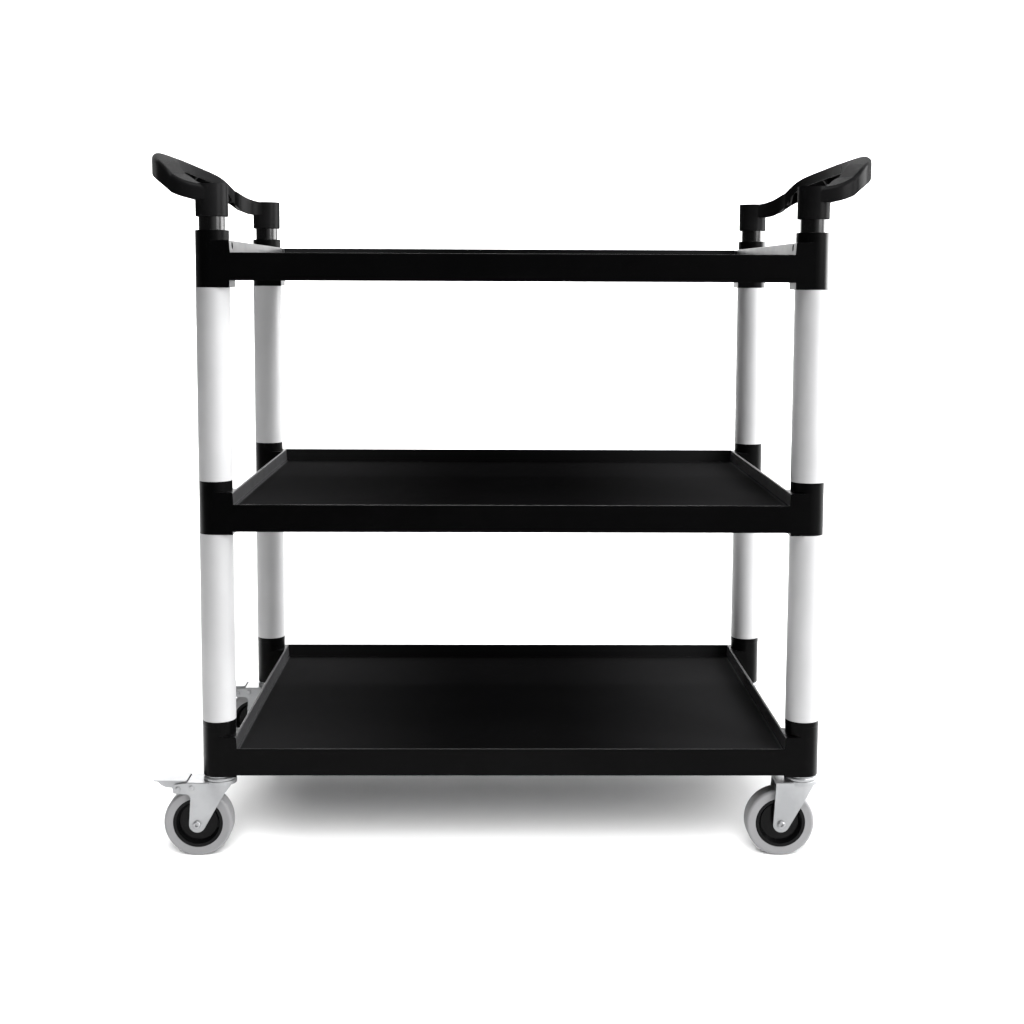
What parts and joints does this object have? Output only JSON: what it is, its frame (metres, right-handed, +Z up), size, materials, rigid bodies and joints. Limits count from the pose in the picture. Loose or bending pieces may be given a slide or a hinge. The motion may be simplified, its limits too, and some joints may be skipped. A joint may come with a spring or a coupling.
{
  "type": "food service trolley",
  "caption": "Open-front utility trolley with moulded trays on round posts, a raised rim on three sides of each tray, a bow-shaped push handle at each end and braked swivel castors.",
  "frame": {"origin": "on the floor under the middle of the trolley", "axes": "+X along the trolley to the right-hand handle, +Y from the open front to the raised back rims, +Z up"},
  "size_m": [0.998, 0.5, 0.9366],
  "materials": {
    "tray_plastic": "satin black moulding",
    "handle_plastic": "satin black moulding",
    "plug_plastic": "matt dark grey moulding",
    "tube_aluminium": "satin anodised",
    "screw_steel": "plated",
    "castor_zinc": "bright zinc plate",
    "sleeve_steel": "plain",
    "hub_plastic": "glossy black moulding",
    "tyre_rubber": "light grey non-marking rubber",
    "pad_rubber": "dark rubber"
  },
  "bodies": {
    "frame": {"caster_stem_back_left": "castor_zinc", "caster_stem_back_right": "castor_zinc", "caster_stem_front_left": "castor_zinc", "caster_stem_front_right": "castor_zinc", "castor_plugs": "plug_plastic", "handle_left": "handle_plastic", "handle_peg_back_left": "tray_plastic", "handle_peg_back_right": "tray_plastic", "handle_peg_front_left": "tray_plastic", "handle_peg_front_right": "tray_plastic", "handle_right": "handle_plastic", "handle_screws": "screw_steel", "lower_tube_back_left": "tube_aluminium", "lower_tube_back_right": "tube_aluminium", "lower_tube_front_left": "tube_aluminium", "lower_tube_front_right": "tube_aluminium", "race_cup_back_left": "castor_zinc", "race_cup_back_right": "castor_zinc", "race_cup_front_left": "castor_zinc", "race_cup_front_right": "castor_zinc", "shelf_bottom": "tray_plastic", "shelf_middle": "tray_plastic", "shelf_top": "tray_plastic", "tube_couplers": "plug_plastic", "upper_tube_back_left": "tube_aluminium", "upper_tube_back_right": "tube_aluminium", "upper_tube_front_left": "tube_aluminium", "upper_tube_front_right": "tube_aluminium"},
    "swivel_front_left": {"fork_front_left": "castor_zinc", "axle_bolt_front_left": "castor_zinc", "axle_nut_front_left": "castor_zinc", "axle_sleeve_front_left": "sleeve_steel", "brake_rivets_front_left": "castor_zinc"},
    "wheel_front_left": {"wheel_hub_front_left": "hub_plastic", "tyre_front_left": "tyre_rubber"},
    "pedal_front_left": {"brake_pedal_front_left": "castor_zinc", "brake_pad_front_left": "pad_rubber"},
    "swivel_front_right": {"fork_front_right": "castor_zinc", "axle_bolt_front_right": "castor_zinc", "axle_nut_front_right": "castor_zinc", "axle_sleeve_front_right": "sleeve_steel"},
    "wheel_front_right": {"wheel_hub_front_right": "hub_plastic", "tyre_front_right": "tyre_rubber"},
    "swivel_back_left": {"fork_back_left": "castor_zinc", "axle_bolt_back_left": "castor_zinc", "axle_nut_back_left": "castor_zinc", "axle_sleeve_back_left": "sleeve_steel", "brake_rivets_back_left": "castor_zinc"},
    "wheel_back_left": {"wheel_hub_back_left": "hub_plastic", "tyre_back_left": "tyre_rubber"},
    "pedal_back_left": {"brake_pedal_back_left": "castor_zinc", "brake_pad_back_left": "pad_rubber"},
    "swivel_back_right": {"fork_back_right": "castor_zinc", "axle_bolt_back_right": "castor_zinc", "axle_nut_back_right": "castor_zinc", "axle_sleeve_back_right": "sleeve_steel"},
    "wheel_back_right": {"wheel_hub_back_right": "hub_plastic", "tyre_back_right": "tyre_rubber"}
  },
  "joints": [
    {"name": "swivel_turn_front_left", "type": "hinge", "parent": "frame", "child": "swivel_front_left", "pos_m": [-0.386, -0.226, 0.1], "axis": [0, 0, 1], "continuous": true},
    {"name": "wheel_spin_front_left", "type": "hinge", "parent": "swivel_front_left", "child": "wheel_front_left", "pos_m": [-0.414, -0.226, 0.045], "axis": [0, 1, 0], "continuous": true},
    {"name": "pedal_press_front_left", "type": "hinge", "parent": "swivel_front_left", "child": "pedal_front_left", "pos_m": [-0.4386, -0.226, 0.0924], "axis": [0, -1, 0], "range_deg": [0, 22]},
    {"name": "swivel_turn_front_right", "type": "hinge", "parent": "frame", "child": "swivel_front_right", "pos_m": [0.386, -0.226, 0.1], "axis": [0, 0, 1], "continuous": true},
    {"name": "wheel_spin_front_right", "type": "hinge", "parent": "swivel_front_right", "child": "wheel_front_right", "pos_m": [0.358, -0.226, 0.045], "axis": [0, 1, 0], "continuous": true},
    {"name": "swivel_turn_back_left", "type": "hinge", "parent": "frame", "child": "swivel_back_left", "pos_m": [-0.386, 0.226, 0.1], "axis": [0, 0, 1], "continuous": true},
    {"name": "wheel_spin_back_left", "type": "hinge", "parent": "swivel_back_left", "child": "wheel_back_left", "pos_m": [-0.414, 0.226, 0.045], "axis": [0, 1, 0], "continuous": true},
    {"name": "pedal_press_back_left", "type": "hinge", "parent": "swivel_back_left", "child": "pedal_back_left", "pos_m": [-0.4386, 0.226, 0.0924], "axis": [0, -1, 0], "range_deg": [0, 22]},
    {"name": "swivel_turn_back_right", "type": "hinge", "parent": "frame", "child": "swivel_back_right", "pos_m": [0.386, 0.226, 0.1], "axis": [0, 0, 1], "continuous": true},
    {"name": "wheel_spin_back_right", "type": "hinge", "parent": "swivel_back_right", "child": "wheel_back_right", "pos_m": [0.358, 0.226, 0.045], "axis": [0, 1, 0], "continuous": true}
  ]
}
